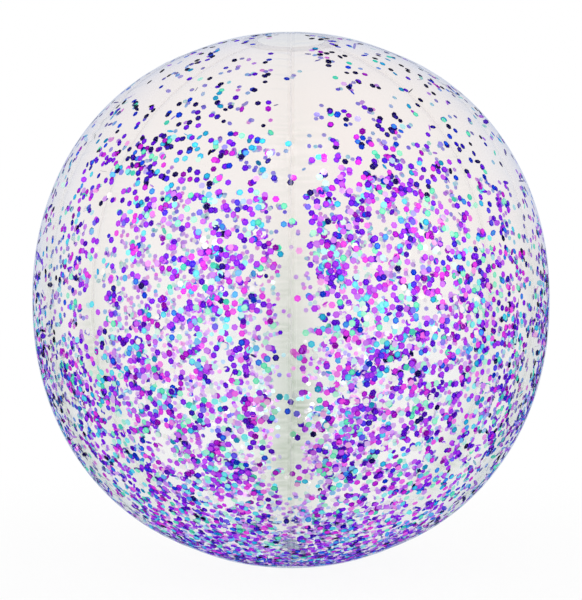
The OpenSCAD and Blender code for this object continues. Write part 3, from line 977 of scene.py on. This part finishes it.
def flake_points(turn, angle):
    """Points of hexagonal prisms on the inner side of the film: corner circles of six points, each in its
    own tilted plane, lifted off the wall by its tilt and by the flakes under it."""
    count = len(turn)
    radius, _, out_r, out_z = outline(angle)
    normal = np.stack([out_r * np.cos(turn), out_r * np.sin(turn), out_z], -1)
    east = np.stack([-np.sin(turn), np.cos(turn), 0 * turn], -1)
    north = np.cross(normal, east)
    tilt = np.abs(rng.normal(0, TILT_SPREAD, count))
    loose = rng.uniform(0, 1, count)
    tilt = np.where(loose < LOOSE_SHARE, rng.uniform(*LOOSE_TILT, count), tilt)
    tilt = np.where(loose < UPRIGHT_SHARE, rng.uniform(*UPRIGHT_TILT, count), tilt)
    lean = rng.uniform(0, 2 * np.pi, count)
    fall = east * np.cos(lean)[:, None] + north * np.sin(lean)[:, None]
    axis = normal * np.cos(tilt)[:, None] + fall * np.sin(tilt)[:, None]
    side = np.cross(axis, np.cross(normal, fall))
    side = side / np.linalg.norm(side, axis=1)[:, None]
    other = np.cross(axis, side)
    stack = np.minimum(layers(wall(turn, angle, 0)), MOST_LAYERS)
    away = np.abs(seam_distance(turn, radius)[1])
    step_over = (FILM_T + STEP_GAP) * ramp(away, STEP_START, STEP_FULL)
    lift = FILM_T + WALL_GAP + step_over + FLAKE_R * np.sin(tilt) + stack * 2 * FLAKE_T + FLAKE_T
    middle = wall(turn, angle, lift)
    corner = 2 * np.pi / HEX
    spin = rng.uniform(0, corner, count)[:, None] + HERE * corner
    size = FLAKE_R * rng.uniform(1 - SIZE_SPREAD, 1 + SIZE_SPREAD, count)[:, None, None]
    rim = size * (side[:, None] * np.cos(spin)[..., None] + other[:, None] * np.sin(spin)[..., None])
    half = axis[:, None] * FLAKE_T / 2
    dome = axis[:, None] * rng.normal(0, DOME_SPREAD, count)[:, None, None]
    return middle[:, None] + np.concatenate([rim + half, dome + half, rim - half, dome - half], 1)


# Shades of the flakes, from 0 for dark to 1 for pale: mean, spread and palest, and how much deeper they are
# made by the painted shade of the top and the sides, and in the heap
SHADE_MEAN = 0.33
SHADE_SPREAD = 0.2
SHADE_TOP = 0.75
PAINTED_SHADE_DEPTH = 0.85
HEAP_DEPTH = 0.12
# Shades of their inner sides, share of the flakes that lie the other way up, and shade of the cut sides
BACK_MEAN = 0.88
BACK_SPREAD = 0.12
BACK_LEAST = 0.5
FLIPPED_SHARE = 0.08
CUT_SHADE = 0.5


def flake_shades(turn, angle):
    """Shade of every face: random for each flake, deeper where painted shade darkens the top and the sides,
    paler on the inner side.
    """
    count = len(turn)
    # Painted shade: the flakes at the top and the sides are made deeper
    shade = rng.normal(SHADE_MEAN, SHADE_SPREAD, count) * (1 - PAINTED_SHADE_DEPTH * top_and_side_shade(turn, angle))
    shade = np.clip(shade - HEAP_DEPTH * heaped(angle), 0, SHADE_TOP)
    back = np.clip(rng.normal(BACK_MEAN, BACK_SPREAD, count), BACK_LEAST, 1)
    flip = rng.uniform(0, 1, count) < FLIPPED_SHARE
    shade, back = np.where(flip, back, shade), np.where(flip, shade, back)
    return np.repeat(np.stack([shade, back, shade * CUT_SHADE], 1), [HEX, HEX, 2 * HEX], 1)


def flake_kinds(turn, angle):
    """Number of each flake's foil, drawn by the shares of its place, which lean to dark foils where painted
    shade darkens the top and the sides. High up, violet stands in for pearl, whose white flakes partly serve
    as painted glints lower down.
    """
    count = len(turn)
    shade_weight, heap = top_and_side_shade(turn, angle), heaped(angle)
    at_top, lower, in_heap = np.array([SHARES[name] for name in KINDS]).T
    # The top column paints shade with dark foils at the top and the sides
    share = np.outer(shade_weight, at_top) + np.outer(heap, in_heap) + np.outer(1 - shade_weight - heap, lower)
    chance = np.cumsum(share, 1)
    kind = np.sum(rng.uniform(0, 1, count)[:, None] > chance[:, :-1], 1)
    # Pearl gives way to violet high up, so its white flakes, partly painted glints, stay lower down
    pearl_faded = rng.uniform(0, 1, count) < ramp(angle, PEARL_FADE_START, PEARL_FADE_FULL)
    return np.where((kind == KINDS.index("pearl")) & pearl_faded, KINDS.index("violet"), kind)


def glitter():
    """The flakes as one piece for each foil. The value cut is 1 on their corners and 0 in their middles."""
    turn, angle = flake_places()
    points = flake_points(turn, angle)
    shades = flake_shades(turn, angle)
    kinds = flake_kinds(turn, angle)
    cut = np.tile(HEX * [1] + [0], (len(turn), 2))
    for i, name in enumerate(KINDS):
        mine = kinds == i
        foil = glitter_foil("glitter_foil_" + name, *FOILS[name])
        first = FLAKE_POINTS * np.arange(mine.sum())[:, None, None]
        faces = (first + FLAKE_FACES).reshape(-1, 3).tolist()
        values = {"shade": shades[mine], "cut": cut[mine]}
        piece = new_piece(name + "_glitter", points[mine], faces, foil, values, "ball", smooth_faces=False)
        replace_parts(piece, name + "_flakes")


glitter()

# Studio

# Floor: half its width, how self-lit it is near the ball's foot, and the distances from there between which
# that grows to full
FLOOR_HALF = 6.0
SELF_LIT_NEAR = 0.93
NEAR_BALL = 0.1
FAR_FROM_BALL = 0.6
# Light from all round, as a part of the white that the camera sees
AMBIENT = 0.7


def sees_studio(tree):
    """1 for the rays that should see the white studio: those of the camera, gloss and clear material."""
    path = add(tree, "ShaderNodeLightPath").outputs
    seen = add(tree, "ShaderNodeMath", {0: path["Is Camera Ray"], 1: path["Is Glossy Ray"]},
               operation="MAXIMUM")
    return add(tree, "ShaderNodeMath", {0: seen.outputs[0], 1: path["Is Transmission Ray"]},
               operation="MAXIMUM").outputs[0]


def studio_floor():
    """Matt white sweep that is nearly self-lit to the eye, so that only the ball's own shadow shows on it.
    Its underside is left open, so that the ball can be looked at from below."""
    material = bpy.data.materials.new("matt_white_paper")
    tree = new_tree(material)
    paper = add(tree, "ShaderNodeBsdfDiffuse", {"Color": ink("#F4F4F4")})
    glow = add(tree, "ShaderNodeEmission", {"Color": WHITE, "Strength": 1.0})
    place = add(tree, "ShaderNodeTexCoord").outputs["Object"]
    far = add(tree, "ShaderNodeVectorMath", {0: place, 1: (0, 0, GROUND_Z)}, operation="DISTANCE")
    self_lit = add(tree, "ShaderNodeMapRange", {"Value": far.outputs["Value"], "From Min": NEAR_BALL,
                                                "From Max": FAR_FROM_BALL, "To Min": SELF_LIT_NEAR,
                                                "To Max": 1.0}, interpolation_type="SMOOTHSTEP")
    share = add(tree, "ShaderNodeMath", {0: sees_studio(tree), 1: self_lit.outputs[0]},
                operation="MULTIPLY")
    lit = add(tree, "ShaderNodeMixShader", {0: share.outputs[0], 1: paper.outputs[0], 2: glow.outputs[0]})
    under = add(tree, "ShaderNodeNewGeometry").outputs["Backfacing"]
    open_below = add(tree, "ShaderNodeBsdfTransparent")
    both = add(tree, "ShaderNodeMixShader", {0: under, 1: lit.outputs[0], 2: open_below.outputs[0]})
    add(tree, "ShaderNodeOutputMaterial", {"Surface": both.outputs[0]})
    mesh = bpy.data.meshes.new("studio_floor")
    corners = [(x * FLOOR_HALF, y * FLOOR_HALF, GROUND_Z) for x, y in ((-1, -1), (1, -1), (1, 1), (-1, 1))]
    mesh.from_pydata(corners, [], [(0, 1, 2, 3)])
    mesh.materials.append(material)
    floor = bpy.data.objects.new("studio_floor", mesh)
    bpy.context.scene.collection.objects.link(floor)


def studio_world():
    """White to the rays that see the studio, and a part of that as light from all round on the rest."""
    world = bpy.data.worlds.new("white_studio")
    bpy.context.scene.world = world
    tree = new_tree(world)
    level = add(tree, "ShaderNodeMath", {0: sees_studio(tree), 1: 1 - AMBIENT, 2: AMBIENT},
                operation="MULTIPLY_ADD")
    sky = add(tree, "ShaderNodeBackground", {"Color": WHITE, "Strength": level.outputs[0]})
    add(tree, "ShaderNodeOutputWorld", {"Surface": sky.outputs[0]})


def softbox(name, direction, distance, width, watts):
    """Round area lamp at a distance from the middle of the ball, turned towards it."""
    lamp = bpy.data.lights.new(name, "AREA")
    lamp.shape, lamp.size, lamp.energy = "DISK", width, watts
    holder = bpy.data.objects.new(name, lamp)
    bpy.context.scene.collection.objects.link(holder)
    holder.location = np.array(direction) / np.linalg.norm(direction) * distance
    holder.rotation_mode = "QUATERNION"
    holder.rotation_quaternion = holder.location.to_track_quat("Z", "Y")


studio_floor()
studio_world()
softbox("softbox_top", direction=(0.03, -0.62, 0.79), distance=2.0, width=0.75, watts=6.5)
softbox("softbox_front", direction=(0.1, -1.0, 0.05), distance=2.6, width=2.8, watts=3.5)
softbox("softbox_left", direction=(-0.8, -0.75, 0.35), distance=2.4, width=1.6, watts=5)
softbox("softbox_right", direction=(0.85, -0.6, 0.3), distance=2.4, width=1.6, watts=4)

# Camera level with the ball's middle, and its focal length in pixels of the picture

CAMERA_DISTANCE = 1.0
FOCAL_PIXELS = 1269
IMAGE_HEIGHT = 600
SENSOR_MM = 36

camera = bpy.data.cameras.new("camera")
camera.sensor_width = SENSOR_MM
camera.lens = SENSOR_MM * FOCAL_PIXELS / IMAGE_HEIGHT
stand = bpy.data.objects.new("camera", camera)
bpy.context.scene.collection.objects.link(stand)
stand.location = (0, -CAMERA_DISTANCE, 0)
stand.rotation_euler = (np.pi / 2, 0, 0)

# Clear surfaces that a ray may pass through
CLEAR_LAYERS = 32
scene = bpy.context.scene
scene.camera = stand
scene.view_settings.view_transform = "Standard"
scene.cycles.transparent_max_bounces = CLEAR_LAYERS
